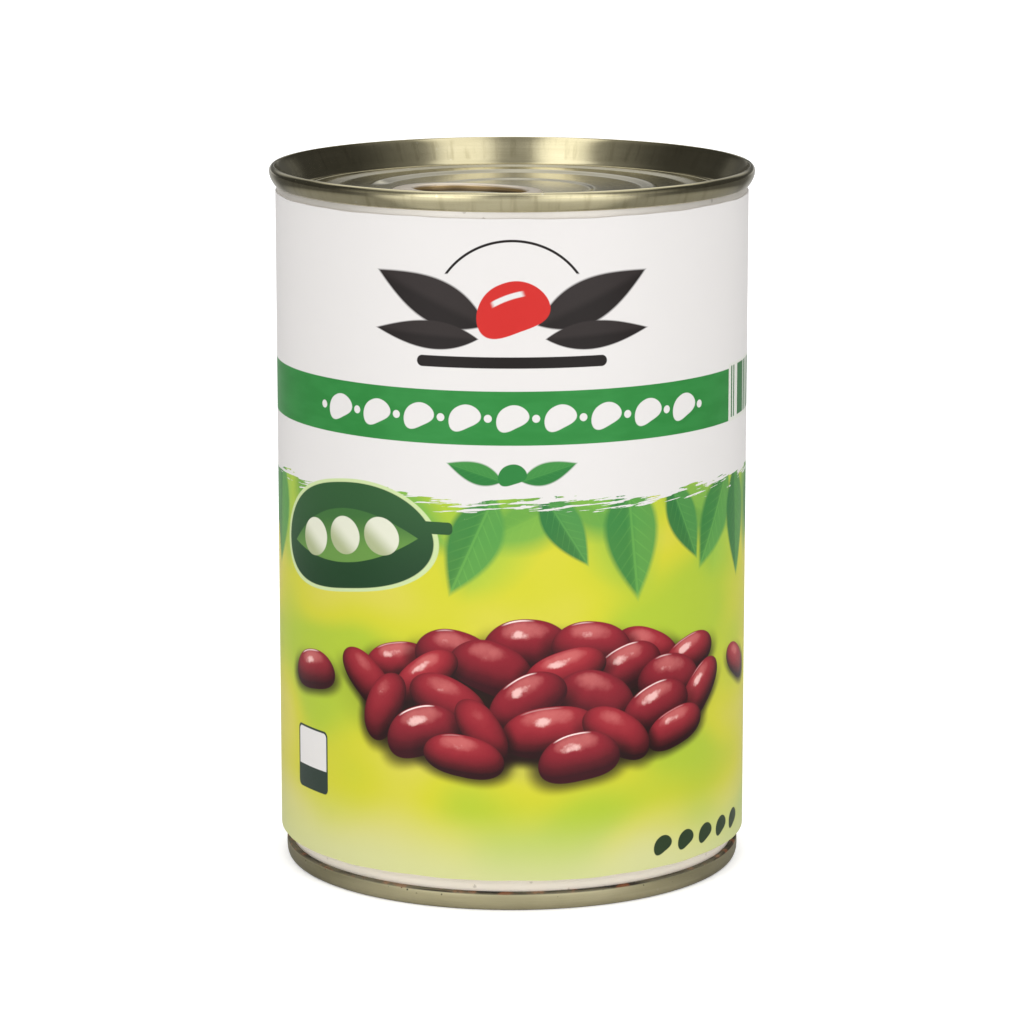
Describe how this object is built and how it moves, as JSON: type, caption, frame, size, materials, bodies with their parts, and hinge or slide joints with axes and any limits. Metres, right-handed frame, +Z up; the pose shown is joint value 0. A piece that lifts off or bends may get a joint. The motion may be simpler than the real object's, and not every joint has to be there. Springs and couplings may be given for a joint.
{
  "type": "can of cooked beans",
  "caption": "Closed upright steel food can with a necked-in bottom, printed paper label, rolled seams and an easy-open lid with a ring-pull tab.",
  "frame": {"origin": "middle of the base, on the surface that the bottom seam stands on", "axes": "+Z up along the can's axis, -Y the front of the label, +X to the right seen from the front"},
  "size_m": [0.0754, 0.0754, 0.11],
  "materials": {
    "can_wall": "bare tinplate wall, light silver grey, satin, with fine grain round the can",
    "lacquered_end": "tinplate under a thin golden olive lacquer, satin gloss, with fine turned grain, and rust specks along the bottom seam",
    "label_paper": "smooth satin printed paper: white field, green band, yellow-green field with leaves and dark red beans",
    "tab_steel": "lacquered tinplate with rolled edges, satin gloss"
  },
  "bodies": {
    "root": {"can_body": "can_wall", "top_end": "lacquered_end", "bottom_end": "lacquered_end", "label": "label_paper", "pull_tab": "tab_steel"}
  },
  "joints": []
}
